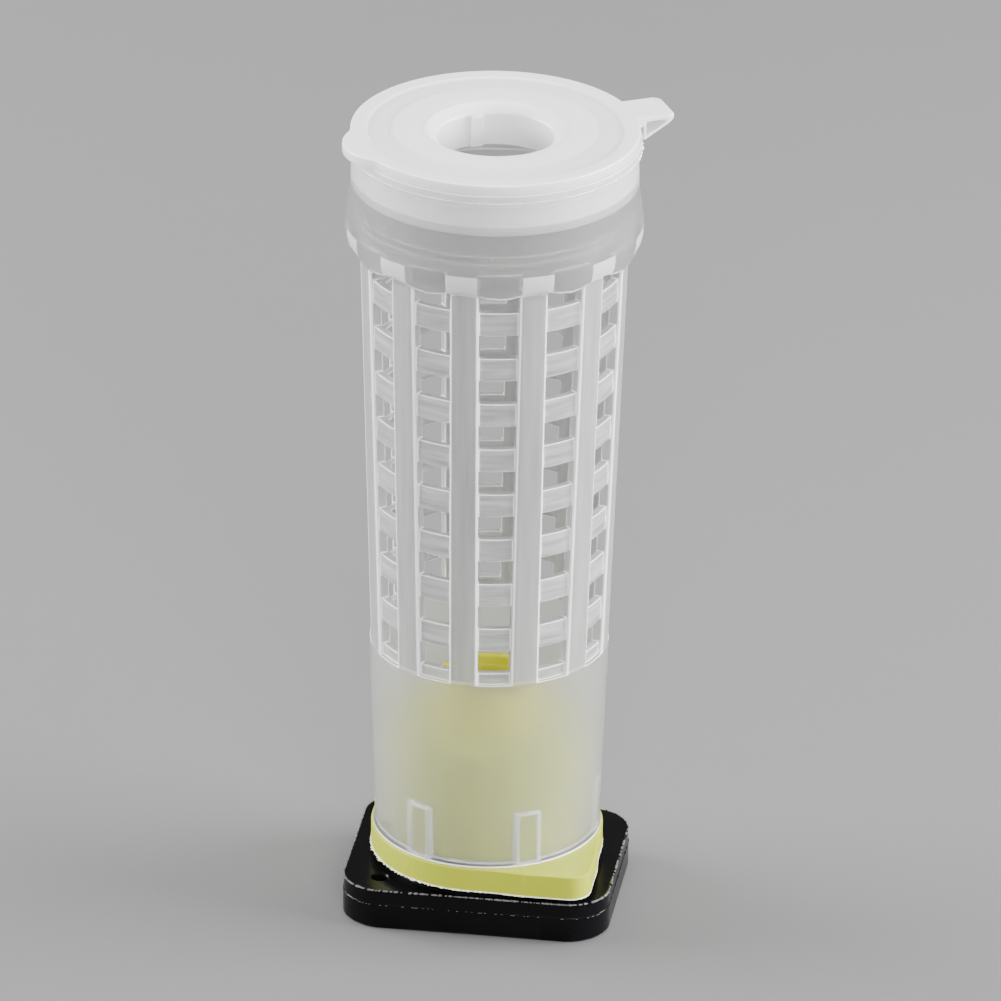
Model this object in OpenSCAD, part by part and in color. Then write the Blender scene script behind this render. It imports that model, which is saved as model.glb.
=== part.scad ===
// Queen cage on its cell bar block: a latticed roller cage stands over a cell cup,
// and every piece pulls straight up off the one below it.
// Origin: centre of the block's underside. +Z runs up the cage's axis.

/* [Bar block] */
// Length of the block along the bar
block_w = 25.8; // [24:0.1:30]
// Depth of the block across the bar
block_d = 21; // [20:0.1:26]
// Thickness of the block's plate
block_t = 4; // [3:0.1:6]
// Radius of the block's upright corners
block_corner_r = 4; // [2:0.1:5]
// Radius of the round pad that lifts the holder off the plate
pad_r = 9.9; // [9:0.1:10.4]
// Height of the pad
pad_h = 1; // [0.5:0.1:2]
// Radius of each nail hole
nail_r = 0.75; // [0.5:0.05:1]
// Distance of each nail hole from the middle, along the bar
nail_x = 9.2; // [9:0.1:10.5]
// Distance of each nail hole from the middle, across the bar
nail_y = 7.5; // [7:0.1:8.4]
// Height of the spigot ring that the holder pushes onto
spigot_h = 5; // [3:0.1:6]

/* [Cup holder] */
// Radius of the holder's round flange
flange_r = 11.1; // [10.8:0.1:12]
// Thickness of the flange
flange_t = 2.4; // [1.5:0.1:3]
// Reach of the flange's two squared corners
flange_square = 11.35; // [11.1:0.05:12]
// Radius of the holder's barrel inside the cage
barrel_r = 9.3; // [9:0.05:9.3]
// Height of the barrel above the flange
barrel_h = 11.3; // [9:0.1:13]

/* [Cell cup] */
// Outer radius of the cup's rim
cup_r = 5.1; // [4.8:0.05:5.5]
// Height of the cup's rim above the barrel
cup_h = 4; // [3:0.1:5]
// Radius of the cup's peg, which pushes into the holder
peg_r = 4.3; // [4:0.05:4.5]

/* [Cage tube] */
// Outer radius at the tube's bottom rim
tube_r0 = 10.72; // [10.6:0.01:11]
// Growth of the radius for each millimetre of height
tube_taper = 0.0336; // [0.02:0.0001:0.04]
// Wall thickness of the tube
tube_wall = 1.15; // [1:0.05:1.15]
// Number of window columns round the tube
columns = 12; // [10:1:14]
// Number of window rows
rows = 9; // [6:1:9]
// Width of each upright bar
bar_w = 2.8; // [2.4:0.1:3.2]
// How far the bars stand proud of the bands between windows
bar_proud = 0.4; // [0.2:0.05:0.5]
// Distance between rows
row_pitch = 4.73; // [4.4:0.01:5]
// Height of each window
window_h = 2.4; // [2:0.05:2.8]
// Height of the collar's lower edge above the bottom rim
collar_z = 60.4; // [60:0.1:62]
// Height of the tube's top rim above its bottom rim
tube_h = 71.1; // [70:0.1:73]

/* [Cap] */
// Radius of the cap's disc
cap_r = 13.6; // [13.4:0.1:14]
// Thickness of the disc
cap_t = 1; // [0.8:0.05:1.5]
// Radius of the feed hole
feed_r = 5.5; // [5:0.1:6]
// Depth of the plug below the disc
plug_h = 4.1; // [3:0.1:5]
// Reach of the pull tab from the axis
tab_reach = 17.1; // [16:0.1:18.5]
// Width of the pull tab
tab_w = 4.4; // [3:0.1:6]
// Direction of the pull tab
tab_angle = 28; // [20:1:40]

/* [Hidden] */
$fn = 96;

// Running clearance of a push fit, and the gap left where nothing touches
fit_gap = 0.05;
free_gap = 0.3;
// Overlap that joins solids of one piece, and the overshoot of a cut
join = 0.2;
cut = 1;

// Heights of the pieces' seats above the block's underside
flange_z = block_t + pad_h;
tube_z = flange_z + flange_t;
barrel_top = tube_z + barrel_h;
cap_z = tube_z + tube_h;

// Block: the spigot ring
spigot_r = 8.0;
spigot_wall = 1.2;

// Holder: the skirt that slides over the spigot, and the socket for the cup
skirt_inner_r = spigot_r + fit_gap;
socket_r = peg_r + fit_gap;
socket_wall = 1.1;
socket_depth = 5;
barrel_floor_t = 1.2;
flange_corner_r = 2;
key_count = 6;
key_w = 1.6;
key_h = 4.5;
key_proud = 0.5;

// Cup: the mouth, and the round hollow below it
cup_mouth_r = 4.3;
cup_hollow_r = 4.1;
cup_floor_z = -2.6;
peg_h = 4.6;

// Tube: heights of the lattice above the bottom rim
groove_w = 2.2;
groove_h = 5.3;
groove_depth = 0.55;
row_top = 60.96;
sill_h = 1.15;
lattice_angle = -64.5;
bar_inset = 0.1;
lattice_bottom = row_top - (rows - 1) * row_pitch - window_h - sill_h;
pocket_top = 62.9;
skin_inner_r = 13.1;
socket_top_r = 12.55;

// Cap: rings of the disc and the plug
plug_r = socket_top_r - fit_gap;
plug_body_r = socket_top_r - free_gap;
plug_wall = 0.85;
bead_h = 0.6;
low_bead_z = -3.7;
high_bead_z = -1.6;
well_wall = 0.9;
well_h = 3.1;
funnel_r = 6.55;
funnel_h = 0.75;
tab_drop = 2.3;
tab_tip_t = 0.5;
tab_root_r = 14.05;
lug_r = 4.85;
lug_offset = 10.05;
rim_inner_r = 12;
step_inner_r = 9.7;
step_h = 0.15;

// Outer and inner radius of the tube's taper at height z above its bottom rim
function outer_r(z) = tube_r0 + tube_taper * z;
function inner_r(z) = outer_r(z) - tube_wall;

// Rectangle with rounded corners, centred on the axis
module rounded_rect(w, d, r) {
    square([w - 2 * r, d], center = true);
    square([w, d - 2 * r], center = true);
    for (sx = [-1, 1], sy = [-1, 1])
        translate([sx * (w / 2 - r), sy * (d / 2 - r)])
            circle(r);
}

// Ring of square section
module ring(r_in, r_out, h) {
    difference() {
        cylinder(h = h, r = r_out);
        translate([0, 0, -cut])
            cylinder(h = h + 2 * cut, r = r_in);
    }
}

// Child repeated n times round the axis
module around(n, start = 0) {
    for (i = [0 : n - 1])
        rotate(start + i * 360 / n)
            children();
}

module bar_block() {
    color("#1c1c1e") difference() {
        union() {
            linear_extrude(block_t)
                rounded_rect(block_w, block_d, block_corner_r);
            cylinder(h = flange_z, r = pad_r);
            translate([0, 0, flange_z - join])
                ring(spigot_r - spigot_wall, spigot_r, spigot_h + join);
        }
        for (s = [-1, 1])
            translate([s * nail_x, s * nail_y, -cut])
                cylinder(h = block_t + 2 * cut, r = nail_r);
    }
}

// Outline of the flange: a circle with two opposite corners filled out square
module flange_outline() {
    reach = flange_square;
    inset = reach - flange_corner_r;
    circle(flange_r);
    for (turn = [90, 270])
        rotate(turn) {
            square([reach, inset]);
            square([inset, reach]);
            translate([inset, inset])
                circle(flange_corner_r);
        }
}

module cup_holder() {
    socket_floor = barrel_top - socket_depth;
    color("#c4c67c") difference() {
        union() {
            translate([0, 0, flange_z])
                linear_extrude(flange_t)
                    flange_outline();
            translate([0, 0, flange_z])
                cylinder(h = barrel_top - flange_z, r = barrel_r);
            around(key_count)
                translate([0, -key_w / 2, tube_z - join])
                    cube([barrel_r + key_proud, key_w, key_h + join]);
        }
        // Hollow for the spigot, with the cup's socket standing in its roof
        difference() {
            translate([0, 0, flange_z - cut])
                cylinder(h = barrel_top - barrel_floor_t - flange_z + cut, r = skirt_inner_r);
            translate([0, 0, socket_floor - barrel_floor_t])
                cylinder(h = barrel_h, r = socket_r + socket_wall);
        }
        translate([0, 0, socket_floor])
            cylinder(h = socket_depth + cut, r = socket_r);
    }
}

module cell_cup() {
    color("#c9bd4a") translate([0, 0, barrel_top]) difference() {
        union() {
            cylinder(h = cup_h, r = cup_r);
            translate([0, 0, -peg_h])
                cylinder(h = peg_h + join, r = peg_r);
        }
        translate([0, 0, cup_floor_z + cup_hollow_r])
            sphere(cup_hollow_r, $fn = 64);
        translate([0, 0, cup_floor_z + cup_hollow_r])
            cylinder(h = cup_h, r = cup_hollow_r);
        translate([0, 0, cup_h - 1])
            cylinder(h = cut + 1, r = cup_mouth_r);
    }
}

// Smooth wall of the tube from z0 to z1, thinned from outside by inset
module taper_ring(z0, z1, inset = 0) {
    rotate_extrude()
        polygon([
            [inner_r(z0), z0],
            [outer_r(z0) - inset, z0],
            [outer_r(z1) - inset, z1],
            [inner_r(z1), z1]
        ]);
}

// Upright bars: a shell kept only in narrow radial strips, just shy of the bands inside
module bars() {
    foot = lattice_bottom - join;
    head = pocket_top + join;
    intersection() {
        rotate_extrude()
            polygon([
                [inner_r(foot) + bar_inset, foot],
                [outer_r(foot), foot],
                [outer_r(collar_z), collar_z],
                [skin_inner_r + join, collar_z],
                [skin_inner_r + join, head],
                [inner_r(head) + bar_inset, head]
            ]);
        around(columns, lattice_angle)
            translate([5, -bar_w / 2, 0])
                cube([15, bar_w, tube_h]);
    }
}

// Bands between the window rows, set back from the bars
module bands() {
    for (i = [1 : rows]) {
        top = row_top - window_h - (i - 1) * row_pitch;
        bottom = i < rows ? top - (row_pitch - window_h) : lattice_bottom - join;
        taper_ring(bottom, top, bar_proud);
    }
}

// Bell-shaped collar with the cap's socket inside it
module collar() {
    rotate_extrude()
        polygon([
            [skin_inner_r, collar_z],
            [13.5, collar_z],
            [13.8, 60.9],
            [13.98, 61.6],
            [14.05, 62.4],
            [13.97, 63.6],
            [13.75, 65],
            [13.55, 66.2],
            [13.5, 67.4],
            [13.52, 69.8],
            [13.75, 69.9],
            [13.75, tube_h],
            [socket_top_r, tube_h],
            [socket_top_r, 64.5],
            [inner_r(pocket_top + 0.6), pocket_top + 0.6],
            [inner_r(pocket_top), pocket_top],
            [skin_inner_r, pocket_top]
        ]);
}

module cage_tube() {
    color("#e6e7e4") translate([0, 0, tube_z]) difference() {
        union() {
            taper_ring(0, lattice_bottom);
            bars();
            bands();
            collar();
        }
        around(key_count)
            translate([0, -groove_w / 2, -cut])
                cube([inner_r(0) + groove_depth, groove_w, groove_h + cut]);
    }
}

// Wedge-shaped tab: flat on top, deep at the rim and thin at the tip
module pull_tab() {
    rotate([90, 0, 0])
        linear_extrude(tab_w, center = true)
            polygon([
                [cap_r - 1, 0],
                [tab_root_r, 0],
                [tab_root_r, cap_t - tab_drop],
                [tab_reach, cap_t - tab_tip_t],
                [tab_reach, cap_t],
                [cap_r - 1, cap_t]
            ]);
}

module cage_cap() {
    color("#eef0ee") translate([0, 0, cap_z]) difference() {
        union() {
            cylinder(h = cap_t, r = cap_r);
            // Grip lug opposite the tab
            rotate(tab_angle + 180)
                translate([lug_offset, 0, 0])
                    cylinder(h = cap_t, r = lug_r);
            rotate(tab_angle)
                pull_tab();
            // Plug and its two snap beads
            translate([0, 0, -plug_h])
                ring(plug_r - plug_wall, plug_body_r, plug_h + join);
            for (z = [low_bead_z, high_bead_z])
                translate([0, 0, z])
                    ring(plug_r - plug_wall, plug_r, bead_h);
            // Well round the feed hole
            translate([0, 0, -well_h])
                ring(feed_r, feed_r + well_wall, well_h + join);
        }
        translate([0, 0, -cut])
            cylinder(h = cap_t + 2 * cut, r = feed_r);
        // Flared mouth of the feed hole
        rotate_extrude()
            polygon([
                [0, cap_t - funnel_h],
                [feed_r, cap_t - funnel_h],
                [funnel_r, cap_t],
                [funnel_r, cap_t + cut],
                [0, cap_t + cut]
            ]);
        // Shallow step inside the disc's rim
        translate([0, 0, cap_t - step_h])
            ring(step_inner_r, rim_inner_r, cut);
    }
}

bar_block();
cup_holder();
cell_cup();
cage_tube();
cage_cap();
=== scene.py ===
"""Looks of the queen cage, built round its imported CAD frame.

Five moulded pieces stand in for the five CAD nodes: bar block, cup holder, cell cup, latticed tube
and cap. Two thin films of moulding flash are added, on the holder's flange and the tube's lip. Meshes
are worked out in millimetres, in the frame's own axes, and scaled once to metres.
"""

import math

import bmesh
import bpy
import numpy as np
from mathutils import Matrix, Vector, noise


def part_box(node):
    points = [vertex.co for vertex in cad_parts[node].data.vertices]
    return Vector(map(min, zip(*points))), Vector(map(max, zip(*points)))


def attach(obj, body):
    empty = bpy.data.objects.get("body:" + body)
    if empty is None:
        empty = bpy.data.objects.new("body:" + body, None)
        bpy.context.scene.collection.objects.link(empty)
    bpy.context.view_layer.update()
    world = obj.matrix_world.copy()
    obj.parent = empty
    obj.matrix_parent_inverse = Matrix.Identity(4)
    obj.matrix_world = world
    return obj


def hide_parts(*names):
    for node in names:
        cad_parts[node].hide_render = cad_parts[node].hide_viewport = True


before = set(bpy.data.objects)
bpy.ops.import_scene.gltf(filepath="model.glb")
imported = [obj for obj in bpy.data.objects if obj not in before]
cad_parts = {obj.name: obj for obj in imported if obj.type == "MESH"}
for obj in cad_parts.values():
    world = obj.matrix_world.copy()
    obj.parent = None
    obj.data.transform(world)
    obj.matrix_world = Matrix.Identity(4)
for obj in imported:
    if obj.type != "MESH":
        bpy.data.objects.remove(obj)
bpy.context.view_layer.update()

MM = 0.001
# Edges sharper than the first angle are rounded, and those still sharper than the second shade sharp
ROUNDED_ANGLE = 35
SHARP_ANGLE = 38


def box_mm(node):
    """Lowest and highest corner of a CAD node, in millimetres."""
    return [np.array(corner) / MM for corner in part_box(node)]


block_high = box_mm("bar_block")[1]
holder_low, holder_high = box_mm("cup_holder")
cup_low, cup_high = box_mm("cell_cup")
tube_low, tube_high = box_mm("cage_tube")
cap_low, cap_high = box_mm("cage_cap")

# Seats of the pieces up the axis
FLANGE_Z = holder_low[2]
TUBE_Z = tube_low[2]
TUBE_TOP = tube_high[2]
BARREL_TOP = holder_high[2]
CAP_TOP = cap_high[2]


# ---------------------------------------------------------------- mesh helpers


def new_object(name, verts, faces, kinds):
    """Object from millimetre vertices, with its normals turned outward. kinds number the materials."""
    mesh = bpy.data.meshes.new(name)
    mesh.from_pydata((np.asarray(verts) * MM).tolist(), [], [tuple(int(i) for i in f) for f in faces])
    mesh.polygons.foreach_set("material_index", np.asarray(kinds, np.int32))
    work = bmesh.new()
    work.from_mesh(mesh)
    bmesh.ops.recalc_face_normals(work, faces=work.faces)
    work.to_mesh(mesh)
    work.free()
    piece = bpy.data.objects.new(name, mesh)
    bpy.context.scene.collection.objects.link(piece)
    return piece


def loft(name, loops, poles=(None, None), ring=False, light=None):
    """Skin over closed loops of equal length, with a pole point at either end or closed as a ring.

    light gives, for some bands between loops, where along them the second material shows.
    """
    loops = np.asarray(loops, float)
    count, size = loops.shape[:2]
    verts = list(loops.reshape(-1, 3))
    faces, kinds = [], []
    for j in range(count if ring else count - 1):
        a, b = j * size, ((j + 1) % count) * size
        for i in range(size):
            n = (i + 1) % size
            faces.append((a + i, a + n, b + n, b + i))
            kinds.append(int(bool(light and j in light and light[j][i])))
    for pole, start in zip(poles, (0, (count - 1) * size)):
        if pole is not None:
            verts.append(np.array(pole, float))
            faces += [(start + i, start + (i + 1) % size, len(verts) - 1) for i in range(size)]
            kinds += [0] * size
    return new_object(name, verts, faces, kinds)


def cell_walls(cells, axis, closed):
    """Walls between solid and empty cells across an axis: first grid point, and the solid cell behind."""
    if closed:
        before, after, layer = cells, np.roll(cells, -1, axis), 1
    else:
        padded = np.pad(cells, [(1, 1) if a == axis else (0, 0) for a in range(3)])
        before = np.take(padded, range(padded.shape[axis] - 1), axis)
        after = np.take(padded, range(1, padded.shape[axis]), axis)
        layer = 0
    for cell in np.argwhere(before != after):
        full = before[tuple(cell)]
        owner = cell.copy()
        if closed:
            owner[axis] = (owner[axis] + (not full)) % cells.shape[axis]
        else:
            owner[axis] -= full
        cell[axis] += layer
        yield cell, owner


def cell_surface(name, points, solid, kinds=None, wraps=False):
    """Skin of the solid cells of a curved three-way grid. The first axis may close on itself."""
    size = np.array(points.shape[:3])
    index = np.arange(size.prod()).reshape(size)
    faces, face_kinds = [], []
    for axis in range(3):
        across = [a for a in range(3) if a != axis]
        for first, owner in cell_walls(solid, axis, wraps and axis == 0):
            corners = []
            for du, dv in ((0, 0), (1, 0), (1, 1), (0, 1)):
                corner = first.copy()
                corner[across[0]] += du
                corner[across[1]] += dv
                if wraps:
                    corner[0] %= size[0]
                corners.append(index[tuple(corner)])
            faces.append(corners)
            face_kinds.append(0 if kinds is None else kinds[tuple(owner)])
    used, faces = np.unique(np.array(faces), return_inverse=True)
    return new_object(name, points.reshape(-1, 3)[used], faces.reshape(-1, 4), face_kinds)


def apply_modifiers(piece):
    """Turns the piece's modifiers into plain mesh."""
    shape = piece.evaluated_get(bpy.context.evaluated_depsgraph_get())
    mesh = bpy.data.meshes.new_from_object(shape)
    piece.modifiers.clear()
    piece.data = mesh


def round_edges(piece, width, rule=None, material=-1):
    """Rounds every sharp edge, as a mould does.

    rule gives an edge's own width from its radius and height, in millimetres, and whether it is upright.
    """
    work = bmesh.new()
    work.from_mesh(piece.data)
    weight = work.edges.layers.float.new("bevel_weight_edge")
    for edge in work.edges:
        if edge.is_manifold and edge.calc_face_angle() > math.radians(ROUNDED_ANGLE):
            a, b = (v.co / MM for v in edge.verts)
            middle = (a + b) / 2
            upright = abs((a - b).normalized().z) > 0.7
            own = rule(math.hypot(middle.x, middle.y), middle.z, upright) if rule else width
            edge[weight] = own / width
    work.to_mesh(piece.data)
    work.free()
    bevel = piece.modifiers.new("round", "BEVEL")
    bevel.width = width * MM
    bevel.segments = 2
    bevel.limit_method = "WEIGHT"
    bevel.use_clamp_overlap = False
    bevel.material = material
    apply_modifiers(piece)


def combine(piece, other, operation):
    """Joins the other mesh to the piece, or cuts it out."""
    modifier = piece.modifiers.new("combine", "BOOLEAN")
    modifier.operation = operation
    modifier.solver = "EXACT"
    modifier.object = other
    apply_modifiers(piece)
    bpy.data.objects.remove(other)


def smooth(piece):
    """Smooth shading, broken only at the edges that stay sharp."""
    piece.data.shade_smooth()
    piece.data.set_sharp_from_angle(angle=math.radians(SHARP_ANGLE))
    weighted = piece.modifiers.new("normals", "WEIGHTED_NORMAL")
    weighted.keep_sharp = True
    apply_modifiers(piece)


def dress(piece, *materials):
    """Gives the piece its materials, in the order that its faces number them."""
    for material in materials:
        piece.data.materials.append(material)


def fit(piece, node, body):
    """Puts the piece in the place of its CAD node."""
    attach(piece, body)
    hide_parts(node)


def ring_points(angles, radius, z):
    """Loop of points at a radius and height that may each follow the angle."""
    heights = np.broadcast_to(z, angles.shape)
    return np.stack([radius * np.cos(angles), radius * np.sin(angles), heights], -1)


def turned(name, profile, steps):
    """Solid of revolution of (radius, height) pairs, closed on the axis at both ends."""
    angles = np.linspace(0, 2 * math.pi, steps, endpoint=False)
    loops = [ring_points(angles, r, z) for r, z in profile]
    return loft(name, loops, [(0, 0, profile[0][1]), (0, 0, profile[-1][1])])


def rounded_box_radius(angles, half_w, half_d, corner):
    """Distance from the middle to the edge of a rounded rectangle, along each angle."""
    c, s = np.abs(np.cos(angles)), np.abs(np.sin(angles))
    flat = np.minimum(half_w / np.maximum(c, 1e-9), half_d / np.maximum(s, 1e-9))
    centre = np.array([half_w - corner, half_d - corner])
    along = centre[0] * c + centre[1] * s
    inside = along**2 - centre @ centre + corner**2
    arc = along + np.sqrt(np.maximum(inside, 0))
    in_corner = (flat * c > centre[0]) & (flat * s > centre[1])
    return np.where(in_corner, arc, flat)


def ragged(points, scale, seed):
    """Noise from 0 to 1 along a loop of points, finer as scale grows."""
    shift = Vector((seed * 7.3, seed * 3.1, seed * 1.7))
    return np.array([0.5 + 0.5 * noise.noise(Vector(p) * scale + shift) for p in points])


# ------------------------------------------------------------------- materials


def plastic(name, colour, spread, roughness, grain, depth, stretch=(1, 1, 1), **sockets):
    """Moulded plastic: one shader whose colour, roughness and surface vary with fine noise.

    grain is the surface noise's frequency, depth its height in millimetres, and stretch squeezes it
    along each axis, so that it can run in streaks.
    """
    material = bpy.data.materials.new(name)
    material.use_nodes = True
    nodes, links = material.node_tree.nodes, material.node_tree.links
    shader = nodes["Principled BSDF"]
    place = nodes.new("ShaderNodeTexCoord")
    cloud = nodes.new("ShaderNodeTexNoise")
    cloud.inputs["Scale"].default_value = 220
    cloud.inputs["Detail"].default_value = 3
    links.new(place.outputs["Object"], cloud.inputs["Vector"])
    tint = nodes.new("ShaderNodeMix")
    tint.data_type = "RGBA"
    tint.inputs["A"].default_value = (*[c * (1 - spread) for c in colour], 1)
    tint.inputs["B"].default_value = (*[min(1, c * (1 + spread)) for c in colour], 1)
    links.new(tint.outputs["Result"], shader.inputs["Base Color"])
    gloss = nodes.new("ShaderNodeMapRange")
    gloss.inputs["To Min"].default_value = roughness * 0.8
    gloss.inputs["To Max"].default_value = roughness * 1.2
    links.new(cloud.outputs["Fac"], gloss.inputs["Value"])
    links.new(gloss.outputs["Result"], shader.inputs["Roughness"])
    fine = nodes.new("ShaderNodeTexNoise")
    fine.inputs["Scale"].default_value = grain
    fine.inputs["Detail"].default_value = 4
    streaks = nodes.new("ShaderNodeMapping")
    streaks.inputs["Scale"].default_value = stretch
    links.new(place.outputs["Object"], streaks.inputs["Vector"])
    links.new(streaks.outputs["Vector"], fine.inputs["Vector"])
    streaked = stretch != (1, 1, 1)
    links.new((fine if streaked else cloud).outputs["Fac"], tint.inputs["Factor"])
    bump = nodes.new("ShaderNodeBump")
    bump.inputs["Strength"].default_value = 0.6
    bump.inputs["Distance"].default_value = depth * MM
    links.new(fine.outputs["Fac"], bump.inputs["Height"])
    links.new(bump.outputs["Normal"], shader.inputs["Normal"])
    for socket, value in sockets.items():
        shader.inputs[socket.replace("_", " ")].default_value = value
    return material


def milky(name, tone, clear, roughness, spread=0.015, grain=900, depth=0.02, stretch=(1, 1, 1)):
    """Natural polypropylene: the share clear of the light goes through, blurred, and the rest scatters."""
    return plastic(
        name, (tone, tone, tone * 0.997), spread, roughness, grain, depth, stretch,
        Transmission_Weight=clear, IOR=1.49, Coat_Weight=0.3, Coat_Roughness=0.15,
    )


UPRIGHT_STREAKS = (1, 1, 0.04)
LEVEL_STREAKS = (0.08, 0.08, 1)

milky_clear = milky("milky_clear", 0.97, 0.92, 0.34)
milky_bar = milky(
    "milky_bar", 0.54, 0.55, 0.36, spread=0.3, grain=1800, depth=0.015, stretch=UPRIGHT_STREAKS,
)
milky_band = milky(
    "milky_band", 0.62, 0.55, 0.3, spread=0.75, grain=2200, depth=0.06, stretch=LEVEL_STREAKS,
)
milky_collar = milky("milky_collar", 0.74, 0.9, 0.33)
milky_thick = milky("milky_thick", 0.94, 0.5, 0.33)
# Whiter and nearly opaque: a painted highlight, for the rounded edges, rims and flash films that would
# catch the light
milky_painted_highlight = milky("milky_painted_highlight", 0.96, 0.15, 0.22)
# A little whiter than the clear wall: soft painted light, along the key grooves' rims and the lattice's
# foot, and in a fade below the whitened collar over the plug
milky_rim_painted_light = milky("milky_rim_painted_light", 0.92, 0.74, 0.32)
milky_cap = milky("milky_cap", 0.95, 0.3, 0.34, grain=700, depth=0.03)
milky_thin = milky("milky_thin", 0.92, 0.36, 0.34, grain=700, depth=0.03)
# Near opaque white for the plug's outer faces: painted light, lifting the shade that the disc casts, though
# the plug is the cap's own plastic
milky_plug_painted_light = milky("milky_plug_painted_light", 0.98, 0.08, 0.4)
yellow = plastic("yellow", (0.36, 0.405, 0.018), 0.04, 0.42, 1200, 0.015, IOR=1.45)
# The flange's yellow made brighter for the barrel: painted light inside the tube, where little lamp light
# reaches
barrel_yellow_painted_light = plastic("barrel_yellow_painted_light", (0.46, 0.51, 0.012), 0.04, 0.42, 1200, 0.015, IOR=1.45)
cup_yellow = plastic("cup_yellow", (0.56, 0.55, 0.006), 0.04, 0.36, 1200, 0.01, IOR=1.45)
# Pale yellow for the flange's flash: a painted highlight on the thin film
yellow_flash_painted_highlight = plastic("yellow_flash_painted_highlight", (0.7, 0.72, 0.5), 0.05, 0.4, 1200, 0.015)
black = plastic(
    "black", (0.003, 0.003, 0.0035), 0.2, 0.26, 700, 0.03, IOR=1.25, Specular_IOR_Level=0.3,
)
# Pale grey on the block's flash and parting line: partly whitened plastic, partly a painted highlight
black_flash_and_painted_highlight = plastic("black_flash_and_painted_highlight", (0.12, 0.12, 0.122), 0.5, 0.35, 2500, 0.04)


# -------------------------------------------------------------------- bar block

PAD_R = 9.9
BLOCK_TOP = FLANGE_Z - 1
BLOCK_CORNER = 4
PARTING_Z = BLOCK_TOP - 1.5
SPIGOT_R = 8
SPIGOT_WALL = 1.2
NAIL_HOLE = (9.2, 7.5)
NAIL_R = 0.75
NAIL_FLARE = 0.2
BLOCK_STEPS = 720
# Bands of the block's skin, counted up from its underside, that show the paler grey: partly whitened flash,
# partly a painted highlight along the edge and the parting line
PARTING_BAND = 4
FIN_BANDS = (10, 11)
PALE_LINE = 0.045
PALE_FIN = 0.44


def bar_block():
    """Plate with a ragged moulding flash round its top edge, a pad, a spigot and two nail holes."""
    angles = np.linspace(0, 2 * math.pi, BLOCK_STEPS, endpoint=False)
    edge = rounded_box_radius(angles, block_high[0], block_high[1], BLOCK_CORNER)
    rim = ring_points(angles, edge, BLOCK_TOP)
    torn = ragged(rim, 3.1, 1) * 0.5 + ragged(rim, 9, 2) * 0.5
    fin = 0.04 + 1.1 * np.clip(torn - 0.46, 0, 1)
    wave = 0.06 * (ragged(rim, 2.3, 4) - 0.5)
    line = 0.03 + 0.25 * np.clip(ragged(rim, 4, 3) - 0.55, 0, 1)
    loops = [
        ring_points(angles, edge - 0.3, 0),
        ring_points(angles, edge - 0.06, 0.25),
        ring_points(angles, edge - 0.032, PARTING_Z - 0.2),
        ring_points(angles, edge - 0.03, PARTING_Z - 0.1),
        ring_points(angles, edge - 0.05 + line, PARTING_Z - 0.02),
        ring_points(angles, edge - 0.05 + line, PARTING_Z + 0.03),
        ring_points(angles, edge - 0.08, PARTING_Z + 0.1),
        ring_points(angles, edge - 0.082, PARTING_Z + 0.2),
        ring_points(angles, edge - 0.11 + wave, BLOCK_TOP - 0.4),
        ring_points(angles, edge - 0.12 + wave, BLOCK_TOP - 0.2),
        ring_points(angles, edge - 0.1 + wave + 0.4 * fin, BLOCK_TOP - 0.06),
        ring_points(angles, edge - 0.12 + wave + 0.3 * fin, BLOCK_TOP + 0.5 * fin),
        ring_points(angles, edge - 0.2 + wave, BLOCK_TOP + 0.35 * fin),
        ring_points(angles, edge - 0.34, BLOCK_TOP),
        ring_points(angles, edge - 0.42, BLOCK_TOP),
        ring_points(angles, 0.5 * (edge + PAD_R), BLOCK_TOP),
        ring_points(angles, PAD_R + 0.15, BLOCK_TOP),
        ring_points(angles, PAD_R, BLOCK_TOP + 0.15),
        ring_points(angles, PAD_R, FLANGE_Z),
        ring_points(angles, SPIGOT_R, FLANGE_Z),
        ring_points(angles, SPIGOT_R, block_high[2]),
        ring_points(angles, SPIGOT_R - SPIGOT_WALL, block_high[2]),
        ring_points(angles, SPIGOT_R - SPIGOT_WALL, FLANGE_Z),
    ]
    light = {PARTING_BAND: line > PALE_LINE, **{band: torn > PALE_FIN for band in FIN_BANDS}}
    piece = loft("bar_block_moulded", loops, [(0, 0, 0), (0, 0, FLANGE_Z)], light=light)
    dress(piece, black, black_flash_and_painted_highlight)
    flare_r = NAIL_R + NAIL_FLARE
    for side in (-1, 1):
        profile = [(NAIL_R, -1), (NAIL_R, BLOCK_TOP - 0.12), (flare_r, BLOCK_TOP + 0.08)]
        drill = turned("drill", [*profile, (flare_r, BLOCK_TOP + 1)], 40)
        drill.data.transform(Matrix.Translation(Vector((side * NAIL_HOLE[0], side * NAIL_HOLE[1], 0)) * MM))
        combine(piece, drill, "DIFFERENCE")
    smooth(piece)
    fit(piece, "bar_block", "block")


# ------------------------------------------------------------------- cup holder

FLANGE_R = 11.1
FLANGE_CORNER = 2
CORNER_TURN = math.radians(50)
FLASH_ANGLE = math.radians(232)
BARREL_R = 9.3
KEY_COUNT = 6
KEY_HALF_W = 0.8
KEY_PROUD = 0.5
KEY_H = 4.5
SKIRT_R = 8.05
SOCKET_R = 4.35
SOCKET_WALL = 1.1
SOCKET_DEPTH = 5
FLOOR_T = 1.2


def holder_angles():
    """Angles round the holder, with pairs on both sides of each key's edge."""
    foot = math.degrees(math.asin(KEY_HALF_W / BARREL_R))
    crest = math.degrees(math.asin(KEY_HALF_W / (BARREL_R + KEY_PROUD)))
    key = [-foot, -crest, -crest / 2, 0, crest / 2, crest, foot]
    between = np.linspace(foot, 360 / KEY_COUNT - foot, 36)[1:-1]
    turn = 360 / KEY_COUNT
    return np.radians([a + k * turn for k in range(KEY_COUNT) for a in (*key, *between)])


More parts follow.
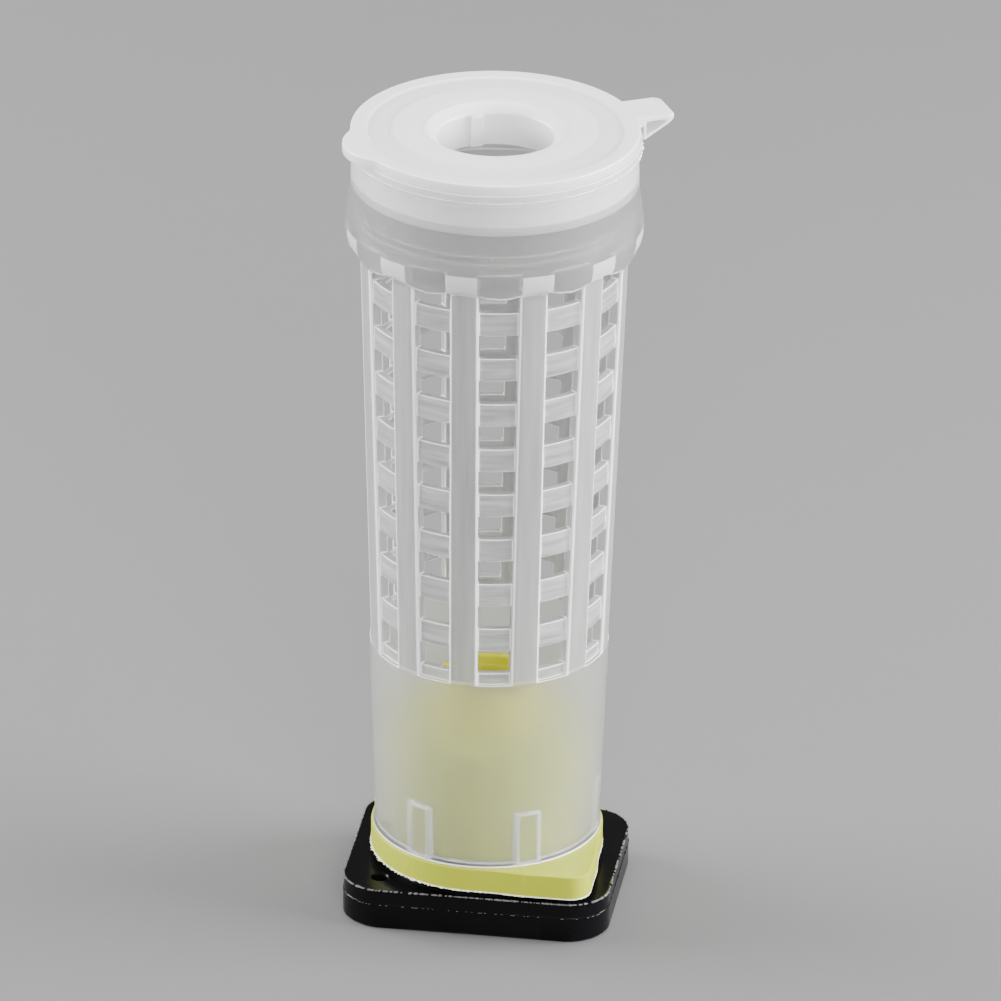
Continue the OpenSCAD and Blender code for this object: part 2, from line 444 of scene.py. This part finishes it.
def flange_radius(angles):
    """Edge of the flange: a circle with two opposite corners filled out square."""
    square = rounded_box_radius(angles, holder_high[0], holder_high[1], FLANGE_CORNER)
    into_corner = np.clip(-np.sin(2 * angles) / math.sin(CORNER_TURN), 0, 1)
    ease = into_corner**2 * (3 - 2 * into_corner)
    return FLANGE_R + (square - FLANGE_R) * ease


def cup_holder():
    """Flange, keyed barrel with a socket for the cup, and a hollow skirt for the spigot."""
    angles = holder_angles()
    edge = flange_radius(angles)
    offset = np.abs((angles + math.pi / KEY_COUNT) % (2 * math.pi / KEY_COUNT) - math.pi / KEY_COUNT)
    on_key = offset < math.asin(KEY_HALF_W / (BARREL_R + KEY_PROUD)) + 1e-6
    keyed = BARREL_R + KEY_PROUD * on_key
    key_top = TUBE_Z + KEY_H
    socket_z = BARREL_TOP - SOCKET_DEPTH
    loops = [
        ring_points(angles, SOCKET_R + SOCKET_WALL, socket_z - FLOOR_T),
        ring_points(angles, SOCKET_R + SOCKET_WALL, BARREL_TOP - FLOOR_T),
        ring_points(angles, SKIRT_R, BARREL_TOP - FLOOR_T),
        ring_points(angles, SKIRT_R, FLANGE_Z),
        ring_points(angles, edge, FLANGE_Z),
        ring_points(angles, edge, TUBE_Z),
        ring_points(angles, keyed, TUBE_Z),
        ring_points(angles, keyed, key_top - 0.2),
        ring_points(angles, BARREL_R, key_top),
        ring_points(angles, BARREL_R, BARREL_TOP),
        ring_points(angles, SOCKET_R, BARREL_TOP),
        ring_points(angles, SOCKET_R, socket_z),
    ]
    piece = loft("cup_holder_moulded", loops, [(0, 0, socket_z - FLOOR_T), (0, 0, socket_z)])
    dress(piece, yellow, barrel_yellow_painted_light)
    # The barrel's faces take the brighter yellow: painted light
    for face in piece.data.polygons:
        middle = face.center / MM
        if middle.z > TUBE_Z + 0.1 and math.hypot(middle.x, middle.y) < FLANGE_R - 1:
            face.material_index = 1
    round_edges(piece, 0.16)
    smooth(piece)
    fit(piece, "cup_holder", "holder")


def flash_film(name, body, material, angles, edge, z, longest):
    """Ragged film of plastic left along an edge at height z. longest, from 0 to 1, is its reach."""
    rim = ring_points(angles, edge, z)
    torn = 0.45 * ragged(rim, 5.1, 11) + 0.55 * ragged(rim, 9, 12)
    patches = np.clip(4 * ragged(rim, 0.45, 13) - 1.2, 0.35, 1)
    fin = 0.02 + (0.2 + 1.1 * longest * patches) * np.clip(torn - 0.46, 0, 1)
    loops = [
        ring_points(angles, edge - 0.15, z + 0.02),
        ring_points(angles, edge + fin, z + 0.02),
        ring_points(angles, edge + fin - 0.01, z + 0.07),
        ring_points(angles, edge - 0.05, z + 0.2),
        ring_points(angles, edge - 0.15, z + 0.2),
    ]
    film = loft(name, loops, ring=True)
    dress(film, material)
    smooth(film)
    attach(film, body)


def flange_flash():
    """Film along the lower edge of the flange, longest at the front left, in a pale colour that paints a
    highlight on it.
    """
    angles = np.linspace(0, 2 * math.pi, 900, endpoint=False)
    longest = np.clip(np.cos(angles - FLASH_ANGLE), 0, 1) ** 2
    edge = flange_radius(angles)
    flash_film("flange_flash", "holder", yellow_flash_painted_highlight, angles, edge, FLANGE_Z, longest)


# --------------------------------------------------------------------- cell cup

PEG_R = 4.3
MOUTH_R = 4.3
HOLLOW_R = 4.1
HOLLOW_Z = BARREL_TOP - 2.6 + HOLLOW_R


def cell_cup():
    """Cup with a round-bottomed hollow, on a peg."""
    rim_r = cup_high[0]
    bowl = [
        (HOLLOW_R * math.cos(math.radians(a)), HOLLOW_Z - HOLLOW_R * math.sin(math.radians(a)))
        for a in range(0, 90, 9)
    ]
    profile = [
        (PEG_R - 0.3, cup_low[2]),
        (PEG_R, cup_low[2] + 0.3),
        (PEG_R, BARREL_TOP),
        (rim_r - 0.1, BARREL_TOP),
        (rim_r, BARREL_TOP + 0.1),
        (rim_r, cup_high[2] - 0.2),
        (rim_r - 0.2, cup_high[2]),
        (MOUTH_R + 0.15, cup_high[2]),
        (MOUTH_R, cup_high[2] - 0.15),
        (MOUTH_R, cup_high[2] - 1),
        (HOLLOW_R, cup_high[2] - 1.1),
        *bowl,
    ]
    piece = turned("cell_cup_moulded", profile, 120)
    bowl_floor = piece.data.vertices[-1]
    bowl_floor.co.z = (HOLLOW_Z - HOLLOW_R) * MM
    dress(piece, cup_yellow)
    round_edges(piece, 0.08)
    smooth(piece)
    fit(piece, "cell_cup", "cup")


# -------------------------------------------------------------------- cage tube

TUBE_R0 = 10.72
TAPER = 0.0336
WALL = 1.15
COLUMNS = 12
ROWS = 9
BAR_W = 2.8
BAR_PROUD = 0.4
ROW_PITCH = 4.73
WINDOW_H = 2.4
ROW_TOP = 60.96
SILL_H = 1.15
LATTICE_ANGLE = -64.5
# Height of the line along the lattice's foot that takes a soft painted highlight
FOOT_LINE = 0.3
# Height of the band along the bottom rim that takes the strong painted highlight
FOOT_EDGE = 0.25
FOOT_LIP = 0.25
FOOT_LIP_H = 0.45
# Sectors of a column's grid that make the bar, and the first and last that a key groove crosses
BAR_SECTORS = 5
GROOVE_SECTORS = (2, 6)
LATTICE_FOOT = ROW_TOP - (ROWS - 1) * ROW_PITCH - WINDOW_H - SILL_H
GROOVE_W = 2.2
GROOVE_H = 5.3
# Width of the strips along the key grooves' rims that take a soft painted highlight
GROOVE_RIM = 0.3
GROOVE_R = TUBE_R0 - WALL + 0.55
COLLAR_Z = 60.4
# Height of the band along the collar's lower edge that takes the strong painted highlight
COLLAR_RIM = 0.28
POCKET_TOP = 62.9
SKIN_INNER_R = 13.1
SOCKET_TOP_R = 12.55
SOCKET_START = 63.6
SOCKET_FOOT = 64.5
WAIST_R = 13.5
BELL_Z = 62.4
BELL_LOWER = 2.0
BELL_UPPER = 2.85
BELL_SWELL = tube_high[0] - WAIST_R
PLUG_FOOT = cap_low[2] - TUBE_Z
PLUG_FADE = 0.8
LIP_Z = 69.8
LIP_R = 13.75
LIP_FLASH_ANGLE = math.radians(5)
SCALLOP = 0.6
TUBE_H = TUBE_TOP - TUBE_Z


def outer_r(z):
    """Outer radius of the plain taper, z above the bottom rim."""
    return TUBE_R0 + TAPER * z


def grid_places():
    """Upright grid lines of one column: -1 to 1 across the bar, then 1 to 3 across the window."""
    half = math.degrees(math.asin(BAR_W / 2 / outer_r(GROOVE_H / 2)))
    pitch = 360 / COLUMNS
    groove_half = math.degrees(math.atan(GROOVE_W / 2 / (TUBE_R0 - WALL)))
    groove_centre = -LATTICE_ANGLE % 60
    left = (groove_centre - groove_half) / half
    right = 1 + 2 * (groove_centre + groove_half - half) / (pitch - 2 * half)
    left_rim = left + GROOVE_RIM / (BAR_W / 2)
    right_rim = right - GROOVE_RIM / (math.pi * TUBE_R0 / COLUMNS - BAR_W / 2)
    return [-1, (left - 1) / 2, left, left_rim, (left_rim + 1) / 2, 1, right_rim, right, 2, 2.5]


def place_angle(column, place, z):
    """Angle of a grid line at height z: the bars keep their width as the tube widens."""
    half = math.asin(BAR_W / 2 / outer_r(z))
    pitch = 2 * math.pi / COLUMNS
    if place > 1:
        turn = half + (place - 1) / 2 * (pitch - 2 * half)
    else:
        turn = place * half
    return math.radians(LATTICE_ANGLE) + column * pitch + turn


def tube_levels():
    """Heights of the grid's rings above the bottom rim."""
    levels = [0, FOOT_EDGE, 0.55, 1.1, 2.4, 3.9, GROOVE_H]
    levels += list(np.linspace(GROOVE_H + GROOVE_RIM, LATTICE_FOOT, 8))
    levels += [LATTICE_FOOT + FOOT_LINE]
    for row in range(ROWS - 1, -1, -1):
        top = ROW_TOP - row * ROW_PITCH
        levels += [top - WINDOW_H, top - WINDOW_H / 2, top]
        if row:
            band = ROW_PITCH - WINDOW_H
            levels += [top + band * share for share in (0.2, 0.5, 0.62, 0.8)]
    levels += [COLLAR_Z, COLLAR_Z + COLLAR_RIM, 61.5, 62.2, POCKET_TOP, 63.5, 64, SOCKET_FOOT]
    levels += [65.2, 66, PLUG_FOOT, PLUG_FOOT + PLUG_FADE, 68.6, 69.2]
    levels += [LIP_Z, LIP_Z + 0.15, LIP_Z + 0.7, TUBE_H]
    return sorted(levels)


def band_relief(z):
    """How far a band's face stands out, with a fine ledge across each band."""
    row = (ROW_TOP - z) % ROW_PITCH - WINDOW_H
    band = ROW_PITCH - WINDOW_H
    if not 0 < row < band or z < LATTICE_FOOT + SILL_H:
        return 0.0
    return float(np.interp(row / band, [0, 0.38, 0.44, 0.8, 1], [0, 0, 0.07, 0.05, 0.02]))


def collar_r(z):
    """Outer radius of the bell-shaped collar."""
    if z > LIP_Z + 0.1:
        return LIP_R
    width = BELL_LOWER if z < BELL_Z else BELL_UPPER
    bell = WAIST_R + BELL_SWELL * math.exp(-(((z - BELL_Z) / width) ** 2))
    return bell - 0.12 * (z < COLLAR_Z + 0.1)


def wall_radii(z):
    """Radii of the grid's shells at height z, from the inside out."""
    taper = outer_r(z)
    inner = taper - WALL
    if z > SOCKET_START:
        step = (z - SOCKET_START) * (SOCKET_TOP_R - taper + WALL) / (SOCKET_FOOT - SOCKET_START)
        inner = min(SOCKET_TOP_R, taper - WALL + step)
    if z > POCKET_TOP:
        outer = collar_r(z)
        return [inner + share * (outer - inner) for share in (0, 0.3, 0.55, 0.75, 1)]
    middle = GROOVE_R if z <= GROOVE_H else taper - BAR_PROUD + band_relief(z)
    lip = FOOT_LIP * math.exp(-((z / FOOT_LIP_H) ** 2))
    return [inner, middle, taper + lip, SKIN_INNER_R, collar_r(z)]


# The last two kinds paint light on the plastic: a soft painted highlight and a strong one
CLEAR, BAR, BAND, COLLAR, THICK, RIM_PAINTED_LIGHT, PAINTED_HIGHLIGHT = range(7)


def tube_rounding(radius, height, upright):
    """Width of the rounding on an edge of the tube, and of the painted highlight that it carries: the bars
    and the rims are the roundest.
    """
    z = height - TUBE_Z
    if LATTICE_FOOT < z < COLLAR_Z and upright and radius > outer_r(z) - 0.1:
        return 0.24
    if abs(z - LATTICE_FOOT) < 0.2:
        return 0.06
    if LATTICE_FOOT < z < COLLAR_Z and not upright:
        return 0.07
    if z < GROOVE_H + 0.1:
        return 0.17
    if z > LIP_Z - 0.1:
        return 0.06
    if COLLAR_Z - 0.1 < z < COLLAR_Z + 0.7 and radius > SKIN_INNER_R - 0.1:
        return 0.15
    return 0.1


def paint_groove_highlights(piece):
    """Paints a highlight on the side walls and the top of each key groove, in the pale edge material."""
    for face in piece.data.polygons:
        middle = face.center / MM
        radius = math.hypot(middle.x, middle.y)
        outward = (face.normal.x * middle.x + face.normal.y * middle.y) / radius
        low = 0.3 < middle.z - TUBE_Z < GROOVE_H + 0.1
        if low and abs(outward) < 0.5 and TUBE_R0 - WALL < radius < GROOVE_R + 0.3:
            face.material_index = PAINTED_HIGHLIGHT


def cage_tube():
    """Tube, lattice and collar as one skin over the solid cells of a ring-shaped grid."""
    places = grid_places()
    levels = tube_levels()
    count = COLUMNS * len(places)
    points = np.zeros((count, len(levels), 5, 3))
    for i in range(count):
        column, line = divmod(i, len(places))
        for j, z in enumerate(levels):
            angle = place_angle(column, places[line], z)
            over_bar = 0.5 + 0.5 * math.cos(COLUMNS * (angle - math.radians(LATTICE_ANGLE)))
            fade = np.clip((BELL_Z - z) / (BELL_Z - COLLAR_Z), 0, 1)
            for k, r in enumerate(wall_radii(z)):
                lift = SCALLOP * over_bar * fade if k >= 3 else 0
                points[i, j, k] = (r * math.cos(angle), r * math.sin(angle), TUBE_Z + z + lift)
    solid = np.zeros((count, len(levels) - 1, 4), bool)
    kinds = np.zeros(solid.shape, int)
    for i in range(count):
        column, sector = divmod(i, len(places))
        bar = sector < BAR_SECTORS
        groove = column % 2 == 0 and GROOVE_SECTORS[0] <= sector <= GROOVE_SECTORS[1]
        for j in range(len(levels) - 1):
            z = (levels[j] + levels[j + 1]) / 2
            in_row = (ROW_TOP - z) % ROW_PITCH < WINDOW_H and LATTICE_FOOT < z < ROW_TOP
            solid[i, j, 0] = not (in_row and not bar) and not (groove and z < GROOVE_H)
            solid[i, j, 1] = bar or z < LATTICE_FOOT or z > POCKET_TOP
            solid[i, j, 2] = z > COLLAR_Z and (bar or z > POCKET_TOP)
            solid[i, j, 3] = z > COLLAR_Z
            if z < LATTICE_FOOT:
                # The bottom rim band takes the strong painted highlight
                kinds[i, j] = CLEAR if z > FOOT_EDGE else PAINTED_HIGHLIGHT
                # Strips along each key groove's sides and over its top take a soft painted highlight
                if groove and (z < GROOVE_H and sector in GROOVE_SECTORS or 0 < z - GROOVE_H < GROOVE_RIM):
                    kinds[i, j, 1] = RIM_PAINTED_LIGHT
            elif z < COLLAR_Z:
                kinds[i, j] = BAR if bar else BAND
                # A line along the lattice's foot takes a soft painted highlight
                if z < LATTICE_FOOT + FOOT_LINE:
                    kinds[i, j, 1] = RIM_PAINTED_LIGHT
            else:
                kinds[i, j] = COLLAR
                kinds[i, j, 2:] = THICK if bar and z < POCKET_TOP else COLLAR
                # A band along the collar's wavy lower edge takes the strong painted highlight
                if z < COLLAR_Z + COLLAR_RIM:
                    kinds[i, j, 3] = PAINTED_HIGHLIGHT
                # Over the plug the collar turns whiter, after a fading band: partly the double wall, partly
                # painted light that lifts the shade under the cap's disc
                elif z > PLUG_FOOT:
                    kinds[i, j] = THICK if z > PLUG_FOOT + PLUG_FADE else RIM_PAINTED_LIGHT
    piece = cell_surface("cage_tube_moulded", points, solid, kinds, wraps=True)
    dress(piece, milky_clear, milky_bar, milky_band, milky_collar, milky_thick, milky_rim_painted_light, milky_painted_highlight)
    paint_groove_highlights(piece)
    # Every rounded edge of the tube takes the strong painted highlight
    round_edges(piece, 0.24, tube_rounding, PAINTED_HIGHLIGHT)
    smooth(piece)
    fit(piece, "cage_tube", "tube")


def lip_flash():
    """Film under the collar's lip, longest below the pull tab, in the material of the painted edge
    highlight.
    """
    angles = np.linspace(0, 2 * math.pi, 900, endpoint=False)
    longest = 0.8 * np.clip(np.cos(angles - LIP_FLASH_ANGLE), 0, 1) ** 40
    z = TUBE_Z + LIP_Z + 0.5
    flash_film("lip_flash", "tube", milky_painted_highlight, angles, LIP_R - 0.02, z, longest)


# ---------------------------------------------------------------------- cage cap

DISC_T = 1.0
DISC_Z = CAP_TOP - DISC_T
DISC_R = 13.6
RING_OUT_R = 12.15
RING_IN_R = 9.6
MOUTH_RING_R = 7.15
LUG_ANGLE = math.radians(208)
LUG_R = 4.85
LUG_OFFSET = 10.05
LUG_BLEND = 0.12
TAB_ANGLE = math.radians(28)
TAB_REACH = 17.1
TAB_START_R = 13.2
TAB_RECESS_END = 16.25
TAB_PINCH_R = 16.5
TAB_FLANGE_T = 0.3
TAB_PLATE_T = 0.45
TAB_WEB = 0.9
TAB_HALF_W = 2.2
TAB_DROP = 2.3
TAB_TIP_T = 0.5
TAB_ROOT_R = 14.05
FEED_R = 5.5
FUNNEL_R = 6.55
FUNNEL_H = 0.75
WELL_WALL = 0.9
WELL_H = 3.1
PLUG_R = 12.5
PLUG_BODY_R = 12.25
PLUG_WALL = 0.85
PLUG_Z = cap_low[2]
BEAD_FEET = (0.3, 2.4)
RIB_ANGLE = math.radians(118)
RIB_PROUD = 0.5
RIB_HALF_W = 0.6
# RIM_LIGHT numbers the painted highlight on rounded edges
BODY, RIM_LIGHT, PLUG, THIN, WEB = range(5)
CAP_LOOKS = (milky_cap, milky_painted_highlight, milky_plug_painted_light, milky_thin, milky_bar)


def cap_edge(angles):
    """Edge of the disc: a circle that swells into the grip lug."""
    turn = angles - LUG_ANGLE
    side = LUG_OFFSET * np.sin(turn)
    reach = LUG_OFFSET * np.cos(turn) + np.sqrt(np.maximum(LUG_R**2 - side**2, 0))
    gap = reach - DISC_R
    return DISC_R + 0.5 * (gap + np.sqrt(gap**2 + LUG_BLEND**2)) * (np.cos(turn) > 0.5)


def pull_tab():
    """Gusseted tab: a flat plate and a sloping flange, joined by a thin web between two recesses."""
    top = CAP_TOP - 0.02
    reaches = [TAB_START_R, TAB_ROOT_R, TAB_ROOT_R + 0.2, 15.2]
    reaches += [TAB_RECESS_END, TAB_PINCH_R, 16.85, TAB_REACH]
    sides = [-TAB_HALF_W, -TAB_WEB / 2, TAB_WEB / 2, TAB_HALF_W]
    slope = (TAB_DROP - TAB_TIP_T) / (TAB_REACH - TAB_ROOT_R)
    points = np.zeros((len(reaches), len(sides), 4, 3))
    for i, r in enumerate(reaches):
        bottom = CAP_TOP - TAB_DROP + slope * max(0, r - TAB_ROOT_R)
        if r > TAB_RECESS_END:
            lower, upper = (bottom + share * (top - bottom) for share in (1 / 3, 2 / 3))
        else:
            lower = bottom + TAB_FLANGE_T
            upper = CAP_TOP - (TAB_PLATE_T if r > TAB_ROOT_R else DISC_T - 0.04)
        pinch = 0.5 * max(0, (r - TAB_PINCH_R) / (TAB_REACH - TAB_PINCH_R)) ** 2
        for j, v in enumerate(sides):
            across = v - math.copysign(pinch * (1.5 if v > 0 else 0.6), v) * (abs(v) > 1.5)
            for k, z in enumerate((bottom, lower, upper, top)):
                points[i, j, k] = (r, across, z)
    solid = np.ones((len(reaches) - 1, len(sides) - 1, 3), bool)
    solid[0, :, :2] = False
    solid[2:4, (0, 2), 1] = False
    kinds = np.zeros(solid.shape, int)
    kinds[2:4, 1, 1] = WEB
    tab = cell_surface("tab", points, solid, kinds)
    tab.data.transform(Matrix.Rotation(TAB_ANGLE, 4, "Z"))
    dress(tab, *CAP_LOOKS)
    # The tab's rounded edges take the painted highlight
    round_edges(tab, 0.07, material=RIM_LIGHT)
    return tab


def well_rib():
    """Upright rib on the wall of the feed hole."""
    grid = np.zeros((2, 2, 2, 3))
    for i, r in enumerate((FEED_R - RIB_PROUD, FEED_R + 0.3)):
        for j, v in enumerate((-RIB_HALF_W, RIB_HALF_W)):
            for k, z in enumerate((DISC_Z - WELL_H + 0.05, DISC_Z + 0.1)):
                grid[i, j, k] = (r, v, z)
    rib = cell_surface("rib", grid, np.ones((1, 1, 1), bool))
    rib.data.transform(Matrix.Rotation(RIB_ANGLE, 4, "Z"))
    dress(rib, *CAP_LOOKS)
    # The rib's rounded edges take the painted highlight
    round_edges(rib, 0.12, material=RIM_LIGHT)
    return rib


def cage_cap():
    """Disc with fine rings, a flared feed hole, a plug with two snap beads, a lug and a pull tab."""
    angles = np.linspace(0, 2 * math.pi, 180, endpoint=False)
    edge = cap_edge(angles)
    well_z = DISC_Z - WELL_H
    beads = []
    for foot in BEAD_FEET:
        z = PLUG_Z + foot
        beads += [(PLUG_BODY_R, z), (PLUG_R, z + 0.2), (PLUG_R, z + 0.6), (PLUG_BODY_R, z + 0.8)]
    profile = [
        (edge, DISC_Z),
        (edge, CAP_TOP),
        (RING_OUT_R, CAP_TOP),
        (RING_OUT_R - 0.2, CAP_TOP - 0.15),
        (RING_IN_R + 0.25, CAP_TOP - 0.15),
        (RING_IN_R, CAP_TOP),
        (MOUTH_RING_R, CAP_TOP),
        (MOUTH_RING_R - 0.15, CAP_TOP - 0.07),
        (MOUTH_RING_R - 0.35, CAP_TOP - 0.07),
        (FUNNEL_R, CAP_TOP - 0.02),
        (FEED_R + 0.12, CAP_TOP - FUNNEL_H),
        (FEED_R, CAP_TOP - FUNNEL_H - 0.15),
        (FEED_R, well_z),
        (FEED_R + WELL_WALL, well_z),
        (FEED_R + WELL_WALL, DISC_Z),
        (PLUG_R - PLUG_WALL, DISC_Z),
        (PLUG_R - PLUG_WALL, PLUG_Z),
        (PLUG_BODY_R, PLUG_Z),
        *beads,
        (PLUG_BODY_R, DISC_Z),
    ]
    loops = [ring_points(angles, r, z) for r, z in profile]
    piece = loft("cage_cap_moulded", loops, ring=True)
    dress(piece, *CAP_LOOKS)
    # The rounded edges take the painted highlight, which the loop below keeps only round the disc's outer
    # rim and lug
    round_edges(piece, 0.14, material=RIM_LIGHT)
    for face in piece.data.polygons:
        middle = face.center / MM
        radius = math.hypot(middle.x, middle.y)
        # The plug's outer faces take the whiter painted light, its inner faces the cap's own plastic
        if middle.z < DISC_Z - 0.05:
            face.material_index = PLUG if radius > PLUG_BODY_R - 0.1 else BODY
        elif RING_IN_R + 0.1 < radius < RING_OUT_R - 0.1 and middle.z > DISC_Z + 0.1:
            face.material_index = THIN
        elif radius < DISC_R - 0.6:
            face.material_index = BODY
    combine(piece, pull_tab(), "UNION")
    combine(piece, well_rib(), "UNION")
    smooth(piece)
    fit(piece, "cage_cap", "cap")


# ------------------------------------------------------------------------ studio


# Half of the floor's side, in metres
FLOOR_HALF = 4.0
# What the lights point at, in metres
MIDDLE = (0, 0, 0.04)


def studio_floor():
    """Plain pale floor."""
    material = plastic(
        "floor_pale", (0.135, 0.135, 0.135), 0.01, 0.8, 300, 0.02, Specular_IOR_Level=0,
    )
    corners = [(-FLOOR_HALF, -FLOOR_HALF, 0), (FLOOR_HALF, -FLOOR_HALF, 0)]
    corners += [(FLOOR_HALF, FLOOR_HALF, 0), (-FLOOR_HALF, FLOOR_HALF, 0)]
    mesh = bpy.data.meshes.new("floor")
    mesh.from_pydata(corners, [], [(0, 1, 2, 3)])
    mesh.materials.append(material)
    floor = bpy.data.objects.new("floor", mesh)
    bpy.context.scene.collection.objects.link(floor)


def softbox(name, place, width, height, power):
    """Rectangular soft light that faces the middle of the object, in metres and watts."""
    light = bpy.data.lights.new(name, "AREA")
    light.shape = "RECTANGLE"
    light.size = width
    light.size_y = height
    light.energy = power
    lamp = bpy.data.objects.new(name, light)
    lamp.location = place
    lamp.rotation_euler = (Vector(MIDDLE) - Vector(place)).to_track_quat("-Z", "Y").to_euler()
    bpy.context.scene.collection.objects.link(lamp)


def studio_light():
    """An overhead softbox, a panel at each side, a front fill and an even pale surround."""
    softbox("left_panel", (-0.5, 0.06, 0.2), 0.4, 0.24, 9)
    softbox("right_panel", (0.5, 0.06, 0.2), 0.4, 0.24, 12)
    softbox("front_fill", (0.25, -0.9, 0.45), 0.5, 0.4, 14)
    softbox("top_box", (0, 0.15, 0.8), 0.7, 0.5, 11)
    world = bpy.data.worlds.new("surround")
    world.use_nodes = True
    world.node_tree.nodes["Background"].inputs["Color"].default_value = (0.8, 0.8, 0.8, 1)
    world.node_tree.nodes["Background"].inputs["Strength"].default_value = 0.18
    bpy.context.scene.world = world


def camera():
    """Long lens from in front, a little to the right and 25 degrees up."""
    lens = bpy.data.cameras.new("camera")
    lens.lens = 455.76
    lens.sensor_width = 36
    lens.clip_start = 0.05
    eye = bpy.data.objects.new("camera", lens)
    eye.location = (0.15120, -1.07587, 0.551956)
    turn = Matrix.Rotation(math.radians(7.952), 3, "Z")
    tilt = Matrix.Rotation(math.radians(90 - 25.187), 3, "X")
    roll = Matrix.Rotation(math.radians(0.736), 3, "Z")
    eye.rotation_euler = (turn @ tilt @ roll).to_euler()
    bpy.context.scene.collection.objects.link(eye)
    bpy.context.scene.camera = eye


camera()
studio_floor()
studio_light()
bar_block()
cup_holder()
flange_flash()
cell_cup()
cage_tube()
lip_flash()
cage_cap()
